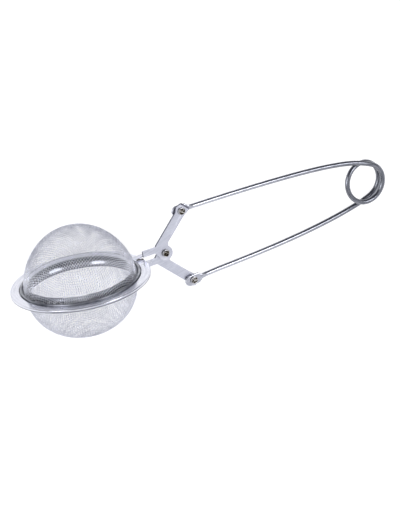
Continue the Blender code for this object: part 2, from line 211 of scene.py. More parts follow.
def ramp(tree, factor, stops):
    """A colour ramp over a factor, with stops as (place, colour)."""
    made = tree.nodes.new("ShaderNodeValToRGB")
    elements = made.color_ramp.elements
    while len(elements) < len(stops):
        elements.new(0.5)
    for element, (place, colour) in zip(elements, stops):
        element.position = place
        element.color = (*colour, 1.0)
    tree.links.new(factor, made.inputs["Fac"])
    return made.outputs["Color"]


def grey(value):
    """A colour with no hue."""
    return (value, value, value)


def streaks(tree, scale, detail=4.0, rotate=(0.0, 0.0, 0.0), source="Object", noise_scale=1.0):
    """Noise drawn out along one direction: scale is small along the streaks."""
    coords = tree.nodes.new("ShaderNodeTexCoord")
    mapping = tree.nodes.new("ShaderNodeMapping")
    mapping.inputs["Rotation"].default_value = rotate
    mapping.inputs["Scale"].default_value = scale
    tree.links.new(coords.outputs[source], mapping.inputs["Vector"])
    noise = node(tree, "ShaderNodeTexNoise", Scale=noise_scale, Detail=detail, Roughness=0.6)
    tree.links.new(mapping.outputs["Vector"], noise.inputs["Vector"])
    return noise.outputs["Fac"]


def add_bump(tree, shader, height, strength, distance):
    """Let a height texture tilt the surface."""
    bump = node(tree, "ShaderNodeBump", Strength=strength, Distance=distance)
    tree.links.new(height, bump.inputs["Height"])
    tree.links.new(bump.outputs["Normal"], shader.inputs["Normal"])


def mixed_colour(tree, factor, first, second):
    """One colour socket faded into another by a factor socket."""
    mix = tree.nodes.new("ShaderNodeMix")
    mix.data_type = "RGBA"
    tree.links.new(factor, mix.inputs[MIX_FACTOR])
    tree.links.new(first, mix.inputs[MIX_FIRST])
    tree.links.new(second, mix.inputs[MIX_SECOND])
    return mix.outputs[MIX_COLOUR]


def wire_mesh_material():
    """Bright drawn wire, with fine spots of lighter and darker metal."""
    material, tree, shader = new_metal("wire_mesh_look", (0.72, 0.73, 0.79), 0.3)
    spots = streaks(tree, (260.0, 260.0, 260.0), detail=2.0)
    tree.links.new(
        ramp(tree, spots, [(0.3, (0.58, 0.59, 0.66)), (0.7, (0.90, 0.91, 0.97))]),
        shader.inputs["Base Color"],
    )
    tree.links.new(ramp(tree, spots, [(0.3, grey(0.36)), (0.7, grey(0.24))]), shader.inputs["Roughness"])
    return material


def pressed_material():
    """Polished sheet: turned lines round the ball's axis, and faint smudges."""
    material, tree, shader = new_metal("pressed_steel_look", (0.86, 0.87, 0.91), 0.16)
    smudge = streaks(tree, (45.0, 45.0, 45.0), detail=3.0)
    dulled = ramp(tree, smudge, [(0.35, grey(0.16)), (0.7, grey(0.30))])
    tree.links.new(dulled, shader.inputs["Roughness"])
    lines = streaks(tree, (1400.0, 8.0, 1.0), source="UV", detail=2.0)
    tree.links.new(
        ramp(tree, lines, [(0.35, (0.62, 0.63, 0.70)), (0.65, (0.76, 0.77, 0.83))]),
        shader.inputs["Base Color"],
    )
    add_bump(tree, shader, lines, 0.10, 0.00004)
    return material


def ball_height(tree):
    """Height along the ball's axis in millimetres, at rest."""
    coords = tree.nodes.new("ShaderNodeTexCoord")
    axis = direction(0.0, 0.0, 1.0)
    centre = PLACE.translation
    dot = tree.nodes.new("ShaderNodeVectorMath")
    dot.operation = "DOT_PRODUCT"
    dot.inputs[1].default_value = axis
    tree.links.new(coords.outputs["Object"], dot.inputs[0])
    scaled = tree.nodes.new("ShaderNodeMath")
    scaled.operation = "MULTIPLY_ADD"
    scaled.inputs[1].default_value = 1 / MM
    scaled.inputs[2].default_value = -centre.dot(axis) / MM
    tree.links.new(dot.outputs["Value"], scaled.inputs[0])
    return scaled.outputs["Value"]


def height_factor(tree, low, high):
    """0 at the low height and 1 at the high one."""
    spread = tree.nodes.new("ShaderNodeMapRange")
    spread.inputs["From Min"].default_value = low
    spread.inputs["From Max"].default_value = high
    tree.links.new(ball_height(tree), spread.inputs["Value"])
    return spread.outputs["Result"]


def inner_painted_light_material():
    """The inside of the upper ring, with light painted in by height: painted shade, dark where it meets
    the fold, a painted reflection, bright above, and darker again at its top edge.
    """
    material, tree, shader = new_metal("ring_inside_painted_light_look", (0.5, 0.5, 0.54), 0.3)
    factor = height_factor(tree, -0.8, 2.7)
    stops = [(0.0, (0.05, 0.055, 0.06)), (0.42, (0.10, 0.11, 0.12)), (0.58, (0.66, 0.67, 0.73))]
    stops += [(0.93, (0.78, 0.79, 0.85)), (1.0, (0.25, 0.26, 0.29))]
    tree.links.new(ramp(tree, factor, stops), shader.inputs["Base Color"])
    return material


def bead_shade_material():
    """The inside of the rolled lower ring, dark as painted shade: darkest along its edges, a little
    lighter on its crown.
    """
    material, tree, shader = new_metal("ring_bead_painted_shade_look", (0.3, 0.3, 0.33), 0.12)
    factor = height_factor(tree, -4.0, -1.15)
    stops = [(0.0, (0.12, 0.12, 0.14)), (0.3, (0.25, 0.26, 0.29)), (0.6, (0.38, 0.39, 0.42))]
    stops += [(0.85, (0.30, 0.31, 0.34)), (1.0, (0.08, 0.08, 0.10))]
    tree.links.new(ramp(tree, factor, stops), shader.inputs["Base Color"])
    return material


def fold_shade_material():
    """The folded ring round the upper mesh: duller than the flange, and painted dark all over as painted
    shade of its gap by the flange.
    """
    material, tree, shader = new_metal("folded_steel_painted_shade_look", (0.30, 0.31, 0.34), 0.3)
    lines = streaks(tree, (700.0, 24.0, 1.0), source="UV", detail=3.0)
    tree.links.new(
        ramp(tree, lines, [(0.3, (0.16, 0.17, 0.19)), (0.7, (0.40, 0.41, 0.45))]),
        shader.inputs["Base Color"],
    )
    return material


def ring_shade_material():
    """The retaining rings: turned steel painted dark, as painted shade of the mesh over them."""
    material, tree, shader = new_metal("ring_steel_painted_shade_look", (0.42, 0.43, 0.46), 0.2)
    lines = streaks(tree, (900.0, 6.0, 1.0), source="UV", detail=3.0)
    tree.links.new(
        ramp(tree, lines, [(0.3, (0.10, 0.11, 0.12)), (0.7, (0.30, 0.31, 0.34))]),
        shader.inputs["Base Color"],
    )
    tree.links.new(ramp(tree, lines, [(0.3, grey(0.26)), (0.7, grey(0.16))]), shader.inputs["Roughness"])
    return material


def lever_material():
    """Satin stamping: fine slanted brush lines over a soft mottling."""
    material, tree, shader = new_metal("lever_steel_look", (0.74, 0.75, 0.80), 0.34, 0.4)
    brush = streaks(tree, (160.0, 160.0, 6000.0), detail=3.0, rotate=(0.6, 0.9, 0.2))
    mottle = streaks(tree, (300.0, 300.0, 300.0), detail=3.0)
    mix = tree.nodes.new("ShaderNodeMix")
    mix.data_type = "FLOAT"
    mix.inputs[MIX_FACTOR].default_value = 0.35
    tree.links.new(brush, mix.inputs[2])
    tree.links.new(mottle, mix.inputs[3])
    blend = mix.outputs[0]
    tree.links.new(
        ramp(tree, blend, [(0.32, (0.56, 0.57, 0.64)), (0.68, (0.76, 0.77, 0.84))]),
        shader.inputs["Base Color"],
    )
    tree.links.new(ramp(tree, blend, [(0.3, grey(0.40)), (0.7, grey(0.28))]), shader.inputs["Roughness"])
    add_bump(tree, shader, brush, 0.12, 0.00005)
    return material


def sheared_shade_material():
    """The cut edge of a stamping: dull, with fine tears across it, and painted dark as painted shade."""
    material, tree, shader = new_metal("sheared_edge_painted_shade_look", (0.16, 0.16, 0.20), 0.45)
    tears = streaks(tree, (2500.0, 2500.0, 900.0), detail=3.0)
    tree.links.new(
        ramp(tree, tears, [(0.35, (0.07, 0.075, 0.10)), (0.65, (0.24, 0.24, 0.30))]),
        shader.inputs["Base Color"],
    )
    return material


def lip_shade_material():
    """The bottom band of the flange's lip, dark as painted shade, made uneven by noise."""
    material, tree, shader = new_metal("lip_painted_shade_look", (0.10, 0.11, 0.13), 0.35)
    stain_and_shade_noise = streaks(tree, (60.0, 60.0, 60.0), detail=3.0)
    tree.links.new(
        ramp(tree, stain_and_shade_noise, [(0.4, (0.05, 0.055, 0.07)), (0.62, (0.26, 0.27, 0.31))]),
        shader.inputs["Base Color"],
    )
    return material


def rivet_material():
    """Plated rivet: bright where it is rubbed, brown and black in the hollow."""
    material, tree, shader = new_metal("rivet_look", (0.5, 0.46, 0.40), 0.3)
    stain_and_shade_noise = streaks(tree, (1300.0, 1300.0, 1300.0), detail=4.0)
    stops = [(0.44, (0.012, 0.010, 0.008)), (0.52, (0.10, 0.08, 0.05))]
    stops += [(0.58, (0.60, 0.58, 0.55)), (0.66, (0.85, 0.85, 0.86))]
    tree.links.new(ramp(tree, stain_and_shade_noise, stops), shader.inputs["Base Color"])
    dulled = ramp(tree, stain_and_shade_noise, [(0.35, grey(0.55)), (0.65, grey(0.22))])
    tree.links.new(dulled, shader.inputs["Roughness"])
    return material


def spring_shaded_material():
    """Drawn wire with streaks along its length, with painted shade round the coil that fades to bright
    at the ends.
    """
    material, tree, shader = new_metal("spring_wire_painted_shade_look", (0.66, 0.67, 0.71), 0.2, 0.3)
    draw = streaks(tree, (0.35, 26.0, 1.0), source="UV", detail=4.0)
    coords = tree.nodes.new("ShaderNodeTexCoord")
    parts = tree.nodes.new("ShaderNodeSeparateXYZ")
    tree.links.new(coords.outputs["UV"], parts.inputs["Vector"])
    away = tree.nodes.new("ShaderNodeMath")
    away.operation = "SUBTRACT"
    away.inputs[1].default_value = WIRE_MIDDLE
    tree.links.new(parts.outputs["X"], away.inputs[0])
    size = tree.nodes.new("ShaderNodeMath")
    size.operation = "ABSOLUTE"
    tree.links.new(away.outputs["Value"], size.inputs[0])
    spread = tree.nodes.new("ShaderNodeMapRange")
    spread.inputs["From Min"].default_value = SHADE_FADE_START
    spread.inputs["From Max"].default_value = SHADE_FADE_END
    tree.links.new(size.outputs["Value"], spread.inputs["Value"])
    dark = ramp(tree, draw, [(0.3, (0.055, 0.06, 0.075)), (0.7, (0.34, 0.35, 0.39))])
    light = ramp(tree, draw, [(0.3, (0.38, 0.39, 0.44)), (0.7, (0.74, 0.75, 0.80))])
    faded = mixed_colour(tree, spread.outputs["Result"], dark, light)
    tree.links.new(faded, shader.inputs["Base Color"])
    tree.links.new(ramp(tree, draw, [(0.3, grey(0.28)), (0.7, grey(0.14))]), shader.inputs["Roughness"])
    add_bump(tree, shader, draw, 0.08, 0.00004)
    return material


MESH_LOOK = wire_mesh_material()
PRESSED_LOOK = pressed_material()
RING_SHADE_LOOK = ring_shade_material()
FOLD_SHADE_LOOK = fold_shade_material()
INNER_PAINTED_LIGHT_LOOK = inner_painted_light_material()
BEAD_SHADE_LOOK = bead_shade_material()
LEVER_LOOK = lever_material()
SHEARED_SHADE_LOOK = sheared_shade_material()
PLATED_LOOK = new_metal("plated_look", (0.50, 0.50, 0.53), 0.3)[0]
# A near-white metal for the lever edges that face down: a painted highlight.
PAINTED_HIGHLIGHT_LOOK = new_metal("painted_highlight_edge_look", (0.90, 0.91, 0.95), 0.28)[0]
LIP_SHADE_LOOK = lip_shade_material()
RIVET_LOOK = rivet_material()
SPRING_SHADED_LOOK = spring_shaded_material()


# ---------------------------------------------------------------- making pieces


def finish_piece(obj, material, body, nodes):
    """Give a piece its material, hide the CAD nodes it replaces, and tie it to its body."""
    obj.data.materials.clear()
    obj.data.materials.append(material)
    if nodes:
        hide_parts(*nodes)
    if body:
        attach(obj, body)
    return obj


def set_uvs(mesh, uvs):
    """A UV map with one pair per point."""
    layer = mesh.uv_layers.new(name="UVMap")
    corner = np.empty(len(mesh.loops), np.int32)
    mesh.loops.foreach_get("vertex_index", corner)
    layer.data.foreach_set("uv", np.asarray(uvs, np.float32)[corner].ravel())


def piece_from(name, points, faces, uvs=None, sharp_deg=40.0):
    """A smooth-shaded object from ball-frame points in millimetres. uvs holds one pair per point."""
    mesh = bpy.data.meshes.new(name)
    mesh.from_pydata(to_row(points).tolist(), [], faces)
    if uvs is not None:
        set_uvs(mesh, uvs)
    mesh.shade_smooth()
    mesh.set_sharp_from_angle(angle=math.radians(sharp_deg))
    obj = bpy.data.objects.new(name, mesh)
    bpy.context.collection.objects.link(obj)
    return obj


def arc(centre, radius, start_deg, end_deg, steps):
    """Points along a circular arc."""
    angles = np.radians(np.linspace(start_deg, end_deg, steps + 1))
    return [(centre[0] + radius * math.cos(a), centre[1] + radius * math.sin(a)) for a in angles]


def turned(name, profile, steps=180):
    """A closed (radius, height) outline turned about the ball's axis."""
    profile = np.array(profile, float)
    count = len(profile)
    angles = np.arange(steps) * 2 * math.pi / steps
    lengths = np.concatenate([[0.0], np.cumsum(np.linalg.norm(np.diff(profile, axis=0), axis=1))])
    points = []
    uvs = []
    for k in range(count):
        radius, height = profile[k]
        ring = [radius * np.cos(angles), radius * np.sin(angles), np.full(steps, height)]
        points.append(np.column_stack(ring))
        uvs.append(np.column_stack([np.full(steps, lengths[k] * MM), np.abs(angles / math.pi - 1.0)]))
    faces = []
    for k in range(count):
        below = k * steps
        above = ((k + 1) % count) * steps
        for i in range(steps):
            j = (i + 1) % steps
            faces.append((below + i, below + j, above + j, above + i))
    obj = piece_from(name, np.concatenate(points), faces, np.concatenate(uvs))
    outward(obj)
    return obj


def outward(obj):
    """Turn all of a closed piece's faces outwards."""
    builder = bmesh.new()
    builder.from_mesh(obj.data)
    bmesh.ops.recalc_face_normals(builder, faces=builder.faces)
    builder.to_mesh(obj.data)
    builder.free()


def rounded(corners, steps):
    """A closed outline with its corners rounded. A corner is (x, y, radius)."""
    outline = []
    count = len(corners)
    for i in range(count):
        here = Vector(corners[i][:2])
        before = Vector(corners[i - 1][:2]) - here
        after = Vector(corners[(i + 1) % count][:2]) - here
        wanted = corners[i][2]
        half = before.angle(after) / 2
        reach = min(wanted / math.tan(half), before.length * 0.45, after.length * 0.45)
        start = here + before.normalized() * reach
        end = here + after.normalized() * reach
        for k in range(steps + 1):
            t = k / steps
            outline.append(tuple(start * (1 - t) ** 2 + here * 2 * t * (1 - t) + end * t * t))
    return outline


def stacked_faces(rings, around):
    """The faces of a closed stack of rings, with a flat cap at each end."""
    faces = []
    for k in range(rings - 1):
        for i in range(around):
            j = (i + 1) % around
            faces.append((k * around + i, k * around + j, (k + 1) * around + j, (k + 1) * around + i))
    faces.append(tuple(range(around))[::-1])
    faces.append(tuple(range((rings - 1) * around, rings * around)))
    return faces


def split_runs(outline, longest):
    """A closed outline with extra points on its long runs."""
    split = []
    for i, here in enumerate(outline):
        ahead = outline[(i + 1) % len(outline)]
        count = max(1, math.ceil(math.dist(here, ahead) / longest))
        for k in range(count):
            t = k / count
            split.append((here[0] + (ahead[0] - here[0]) * t, here[1] + (ahead[1] - here[1]) * t))
    return split


# ---------------------------------------------------------------- woven domes


def net_quadrant(count, step):
    """Crossings of a cloth of fixed mesh size laid over a unit sphere, for i, j from 0 to count."""
    net = np.zeros((count, count, 3))
    for i in range(count):
        net[i, 0] = (math.sin(i * step), 0.0, math.cos(i * step))
        net[0, i] = (0.0, math.sin(i * step), math.cos(i * step))
    for i in range(1, count):
        for j in range(1, count):
            middle = net[i - 1, j] + net[i, j - 1]
            middle /= np.linalg.norm(middle)
            net[i, j] = 2 * middle.dot(net[i - 1, j - 1]) * middle - net[i - 1, j - 1]
    return net


def skirt_curve(points, samples=24):
    """A smooth curve through a dome's skirt, as lengths and (radius, height) rows."""
    a, b, c, d = (np.array(p, float) for p in points)
    t = np.linspace(0.0, 1.0, samples)[:, None]
    curve = a * (1 - t) ** 3 + b * 3 * t * (1 - t) ** 2 + c * 3 * t * t * (1 - t) + d * t ** 3
    lengths = np.concatenate([[0.0], np.cumsum(np.linalg.norm(np.diff(curve, axis=0), axis=1))])
    return lengths, curve


SKIRT_RUN = 0.05


def dome_points(unit, lift, leave_deg, skirt, trim):
    """Unit directions and outward lifts as points on the dome, which flares out past leave_deg.

    A positive trim draws the dome in between its crown and its skirt, and a negative one swells it.
    """
    lengths, curve = skirt
    polar = np.arccos(np.clip(unit[:, 2], -1.0, 1.0))
    flat = unit[:, :2] / np.maximum(np.linalg.norm(unit[:, :2], axis=1), 1e-9)[:, None]
    past = np.maximum((polar - math.radians(leave_deg)) * MESH_R, 0.0)
    on_sphere = past <= 0.0
    radius = np.where(on_sphere, MESH_R * np.sin(polar), np.interp(past, lengths, curve[:, 0]))
    height = np.where(on_sphere, MESH_R * np.cos(polar), np.interp(past, lengths, curve[:, 1]))
    ahead = np.minimum(past + SKIRT_RUN, lengths[-1])
    behind = ahead - SKIRT_RUN
    run_r = np.interp(ahead, lengths, curve[:, 0]) - np.interp(behind, lengths, curve[:, 0])
    run_z = np.interp(ahead, lengths, curve[:, 1]) - np.interp(behind, lengths, curve[:, 1])
    size = np.hypot(run_r, run_z)
    out_r = np.where(on_sphere, np.sin(polar), -run_z / size)
    out_z = np.where(on_sphere, np.cos(polar), run_r / size)
    down = np.clip(polar / math.radians(leave_deg), 0.0, 1.0)
    lift = lift - trim * np.where(on_sphere, np.sin(math.pi * down ** 1.6) ** 1.2, 0.0)
    lift = lift + trim * 0.5 * np.where(on_sphere, np.cos(polar) ** 6, 0.0)
    radius = radius + lift * out_r
    height = height + lift * out_z
    return np.column_stack([flat * radius[:, None], height])


def wire_run(net, fixed, along_first, sign, per_cell):
    """One wire's unit directions and weave lifts, outwards from the middle of the net."""
    count = net.shape[0]
    units = []
    lifts = []
    for i in range(count - 1):
        a = net[i, fixed] if along_first else net[fixed, i]
        b = net[i + 1, fixed] if along_first else net[fixed, i + 1]
        parity = 1.0 if (i + fixed) % 2 == 0 else -1.0
        for k in range(per_cell):
            t = k / per_cell
            unit = a * (1 - t) + b * t
            units.append(unit / np.linalg.norm(unit))
            lifts.append(sign * parity * math.cos(math.pi * t))
    return np.array(units), np.array(lifts)


def woven(name, along_first, flip, skirt_points, trim, per_cell=2, sides=6):
    """All the wires of one direction of a dome's cloth, as one mesh of closed tubes."""
    skirt = skirt_curve(skirt_points)
    leave_deg = math.degrees(math.acos(skirt_points[0][1] / MESH_R))
    end_angle = math.radians(leave_deg) + skirt[0][-1] / MESH_R
    step = WIRE_PITCH / MESH_R
    count = int(end_angle / step) + 3
    net = net_quadrant(count, step)
    sign = 1.0 if along_first else -1.0
    spin = math.radians(CLOTH_SPIN_DEG)
    points = []
    faces = []
    ring = np.arange(sides) * 2 * math.pi / sides
    base = 0
    for fixed in range(count):
        units, lifts = wire_run(net, fixed, along_first, sign, per_cell)
        polar = np.arccos(np.clip(units[:, 2], -1.0, 1.0))
        beyond = np.nonzero(polar > end_angle)[0]
        if len(beyond) == 0 or beyond[0] < 2:
            continue
        last = beyond[0]
        share = (end_angle - polar[last - 1]) / (polar[last] - polar[last - 1])
        edge = units[last - 1] * (1 - share) + units[last] * share
        units = np.vstack([units[:last], edge / np.linalg.norm(edge)])
        lifts = np.append(lifts[:last], lifts[last - 1] * (1 - share) + lifts[last] * share)
        swing = np.array([-1.0, 1.0, 1.0]) if along_first else np.array([1.0, -1.0, 1.0])
        whole = np.vstack([units[:0:-1] * swing, units])
        rises = np.concatenate([lifts[:0:-1], lifts]) * MESH_WIRE_R
        mirrors = (1.0,) if fixed == 0 else (1.0, -1.0)
        for mirror in mirrors:
            across = np.array([1.0, mirror, 1.0]) if along_first else np.array([mirror, 1.0, 1.0])
            run = whole * across
            turned_run = run.copy()
            turned_run[:, 0] = run[:, 0] * math.cos(spin) - run[:, 1] * math.sin(spin)
            turned_run[:, 1] = run[:, 0] * math.sin(spin) + run[:, 1] * math.cos(spin)
            centre = dome_points(turned_run, rises, leave_deg, skirt, trim)
            if flip:
                centre[:, 2] = -centre[:, 2]
                centre[:, 1] = -centre[:, 1]
            forward = np.gradient(centre, axis=0)
            forward /= np.linalg.norm(forward, axis=1)[:, None]
            outwards = centre / np.linalg.norm(centre, axis=1)[:, None]
            sideways = np.cross(forward, outwards)
            sideways /= np.linalg.norm(sideways, axis=1)[:, None]
            upright = np.cross(sideways, forward)
            tube = sideways[:, None, :] * np.cos(ring)[None, :, None]
            tube = tube + upright[:, None, :] * np.sin(ring)[None, :, None]
            tube = centre[:, None, :] + MESH_WIRE_R * tube
            rows = len(centre)
            points.append(tube.reshape(-1, 3))
            index = base + np.arange(rows * sides).reshape(rows, sides)
            nxt = np.roll(index, -1, axis=1)
            quads = np.stack([index[:-1], nxt[:-1], nxt[1:], index[1:]], axis=-1).reshape(-1, 4)
            faces += quads.tolist()
            faces.append(index[0][::-1].tolist())
            faces.append(index[-1].tolist())
            base += rows * sides
    return piece_from(name, np.concatenate(points), faces, sharp_deg=70.0)


UPPER_SKIRT = ((24.721, 1.2), (24.76, 0.4), (24.85, -0.12), (25.95, -0.14))
LOWER_SKIRT = ((24.612, 2.6), (24.66, 2.25), (24.85, 2.2), (26.15, 2.2))
for label, first in (("warp", True), ("weft", False)):
    dome = woven("upper_mesh_" + label, first, False, UPPER_SKIRT, UPPER_TRIM)
    finish_piece(dome, MESH_LOOK, "upper_jaw", ["upper_mesh_dome"])
    dome = woven("lower_mesh_" + label, first, True, LOWER_SKIRT, LOWER_TRIM)
    finish_piece(dome, MESH_LOOK, "lower_jaw", ["lower_mesh_dome"])


# ---------------------------------------------------------------- rims and rings

FROM_ROW = PLACE.inverted()


def second_finish(obj, material, wanted):
    """Give the faces that pass wanted(middle, normal), in the ball's frame, another material."""
    obj.data.materials.append(material)
    turn_back = FROM_ROW.to_3x3()
    for polygon in obj.data.polygons:
        middle = FROM_ROW @ polygon.center
        normal = (turn_back @ polygon.normal).normalized()
        if wanted(middle, normal):
            polygon.material_index = 1


def facing_in(middle, normal):
    """True on the face that looks at the ball's axis."""
    outwards = Vector((middle.x, middle.y, 0.0)).normalized()
    return normal.dot(outwards) < -0.2


def lip_shade_band(middle, normal):
    """True on the lowest part of the flange's turned-down lip, which takes painted shade."""
    out = math.hypot(middle.x, middle.y)
    return out > FLANGE_R - SHEET_T - 0.02 and middle.z < -SHOWN_LIP + 0.34


LOWER_RIM = rounded(
    [
        (FLANGE_R, -SHOWN_LIP, 0.16),
        (FLANGE_R, 0.0, 0.5),
        (RECESS_R, 0.0, 0.25),
        (RECESS_R, -SEAT_DEPTH, 0.12),
        (SEAT_R, -SEAT_DEPTH, 0.1),
        (SEAT_R, -SEAT_DEPTH - SHEET_T, 0.1),
        (RECESS_R + SHEET_T, -SEAT_DEPTH - SHEET_T, 0.35),
        (RECESS_R + SHEET_T, -SHEET_T, 0.1),
        (FLANGE_R - SHEET_T, -SHEET_T, 0.1),
        (FLANGE_R - SHEET_T, -SHOWN_LIP, 0.12),
    ],
    4,
)
LOWER_RIM = split_runs(LOWER_RIM, 0.3)
lower_rim = turned("lower_rim_look", LOWER_RIM)
finish_piece(lower_rim, PRESSED_LOOK, "lower_jaw", ["lower_rim"])
# The lip's lowest band takes painted shade.
second_finish(lower_rim, LIP_SHADE_LOOK, lip_shade_band)

UPPER_RIM_FLOOR = -SEAT_DEPTH + GAP
UPPER_RIM = rounded(
    [
        (SEAT_R, UPPER_RIM_FLOOR, 0.1),
        (26.7, UPPER_RIM_FLOOR, 0.3),
        (26.7, 0.6, 0.28),
        (25.7, 0.6, 0.12),
        (25.7, 0.3, 0.1),
        (26.3, 0.3, 0.05),
        (26.3, UPPER_RIM_FLOOR + 0.4, 0.1),
        (SEAT_R, UPPER_RIM_FLOOR + 0.4, 0.1),
    ],
    4,
)
# The folded upper rim is painted dark as painted shade.
finish_piece(turned("upper_rim_look", UPPER_RIM), FOLD_SHADE_LOOK, "upper_jaw", ["upper_rim"])

UPPER_BAND = rounded(
    [
        (24.3, -0.4, 0.1),
        (24.0, -0.4, 0.1),
        (24.0, 2.7, 0.15),
        (23.6, 2.7, 0.15),
        (23.6, -0.8, 0.15),
        (24.3, -0.8, 0.1),
    ],
    4,
)
upper_band = turned("upper_band_look", UPPER_BAND)
# The retaining rings' outsides take painted shade.
finish_piece(upper_band, RING_SHADE_LOOK, "upper_jaw", ["upper_mesh_retainer"])
# The upper ring's inside takes painted shade low down and a painted reflection above.
second_finish(upper_band, INNER_PAINTED_LIGHT_LOOK, facing_in)

LOWER_BAND = rounded(
    [
        (23.4, -4.0, 0.12),
        (23.7, -4.0, 0.12),
        (23.7, -2.9, 0.3),
        (24.1, -1.75, 0.2),
        (24.35, -1.6, 0.05),
        (24.35, -1.15, 0.12),
        (24.12, -1.15, 0.1),
        (23.8, -1.75, 1.2),
        (23.4, -2.8, 1.2),
    ],
    6,
)
lower_band = turned("lower_band_look", LOWER_BAND)
finish_piece(lower_band, RING_SHADE_LOOK, "lower_jaw", ["lower_mesh_retainer"])
# The lower ring's inside takes painted shade, darkest along its edges.
second_finish(lower_band, BEAD_SHADE_LOOK, facing_in)


def weld_mark(name, x, y, long, wide):
    """A small burnt weld on the flange's top: a low, uneven button."""
    around = 24
    angles = np.arange(around) * 2 * math.pi / around
    uneven = 1.0 + 0.12 * np.sin(3 * angles + x) + 0.07 * np.sin(5 * angles)
    rings = [(1.0, -0.05), (1.0, 0.06), (0.9, 0.14), (0.7, 0.19), (0.4, 0.17), (0.15, 0.13)]
    points = []
    for share, height in rings:
        reach = share * uneven
        ring = [x + long * reach * np.cos(angles), y + wide * reach * np.sin(angles)]
        points.append(np.column_stack([*ring, np.full(around, height)]))
    mark = piece_from(name, np.concatenate(points), stacked_faces(len(rings), around))
    outward(mark)
    return finish_piece(mark, RIVET_LOOK, "lower_jaw", [])


weld_mark("weld_mark_inner", 28.8, 0.6, 1.0, 0.75)
weld_mark("weld_mark_outer", 30.35, -0.2, 0.6, 0.7)


# ---------------------------------------------------------------- levers


def flat_solid(name, outline, low_y, high_y):
    """A flat plate in the ball's XZ plane, still in millimetres."""
    builder = bmesh.new()
    face = builder.faces.new([builder.verts.new((x, low_y, z)) for x, z in outline])
    grown = bmesh.ops.extrude_face_region(builder, geom=[face])
    moved = [item for item in grown["geom"] if isinstance(item, bmesh.types.BMVert)]
    bmesh.ops.translate(builder, verts=moved, vec=(0.0, high_y - low_y, 0.0))
    return closed_object(name, builder)


def drill_tool(centre, radius):
    """A round cutter through the plates at an (x, z) centre."""
    return flat_solid("drill", arc(centre, radius, 0.0, 350.0, 35), -DRILL_HALF, DRILL_HALF)


def closed_object(name, builder):
    """An object from a bmesh, with its faces turned outwards."""
    bmesh.ops.recalc_face_normals(builder, faces=builder.faces)
    mesh = bpy.data.meshes.new(name)
    builder.to_mesh(mesh)
    builder.free()
    obj = bpy.data.objects.new(name, mesh)
    bpy.context.collection.objects.link(obj)
    return obj


def boolean(target, tool, operation):
    """Join or cut a solid with a tool, which is used up."""
    modifier = target.modifiers.new("shape", "BOOLEAN")
    modifier.operation = operation
    modifier.solver = "EXACT"
    modifier.object = tool
    apply_all(target)
    bpy.data.objects.remove(tool, do_unlink=True)


def apply_all(obj):
    """Turn an object's modifiers into its mesh."""
    graph = bpy.context.evaluated_depsgraph_get()
    graph.update()
    made = bpy.data.meshes.new_from_object(obj.evaluated_get(graph))
    obj.modifiers.clear()
    old = obj.data
    obj.data = made
    bpy.data.meshes.remove(old)


def bevelled(obj, width):
    """Round a solid's sharp edges."""
    modifier = obj.modifiers.new("edge", "BEVEL")
    modifier.width = width
    modifier.segments = 3
    modifier.limit_method = "ANGLE"
    modifier.angle_limit = math.radians(42.0)
    modifier.use_clamp_overlap = True
    apply_all(obj)


def into_row(obj, sharp_deg=40.0):
    """Move a solid made in millimetres into the row frame."""
    obj.data.transform(PLACE)
    obj.data.shade_smooth()
    obj.data.set_sharp_from_angle(angle=math.radians(sharp_deg))


def strip_axes():
    """The (x, rise) directions along a lever's strip and to its left."""
    lean = math.radians(STRIP_LEAN_DEG)
    along = Vector((math.cos(lean), math.sin(lean)))
    return along, Vector((-along.y, along.x))


def lever_outline(arm_end_x):
    """A lever's outline as (x, rise): arm, pivot lobe, slanted strip and head."""
    rivet = Vector((RIVET_X, RIVET_RISE))
    along, left = strip_axes()
    elbow = rivet - along * ELBOW_BACK + left * STRIP_HALF
    crook = rivet - along * CROOK_BACK - left * STRIP_HALF
    outline = [(arm_end_x, ARM_BOTTOM), (elbow.x - 1.2, ARM_BOTTOM)]
    outline += arc((PIVOT[0], 0.0), LOBE_R, 195.0, 418.0, 40)
    outline += [tuple(crook)]
    outline += round_run([rivet + along * a + left * b for a, b in HEAD_CORNERS], HEAD_ROUND, 6)
    outline += [tuple(elbow), (elbow.x - 0.5, ARM_TOP), (arm_end_x, ARM_TOP)]
    return outline


def round_run(corners, radius, steps):
    """An open run of corners, each inner one rounded."""
    outline = [tuple(corners[0])]
    for before, here, after in zip(corners, corners[1:], corners[2:]):
        back = (before - here).normalized()
        ahead = (after - here).normalized()
        reach = min(radius, (before - here).length * 0.45, (after - here).length * 0.45)
        for i in range(steps + 1):
            t = i / steps
            point = (here + back * reach) * (1 - t) ** 2 + here * 2 * t * (1 - t)
            outline.append(tuple(point + (here + ahead * reach) * t * t))
    return outline + [tuple(corners[-1])]


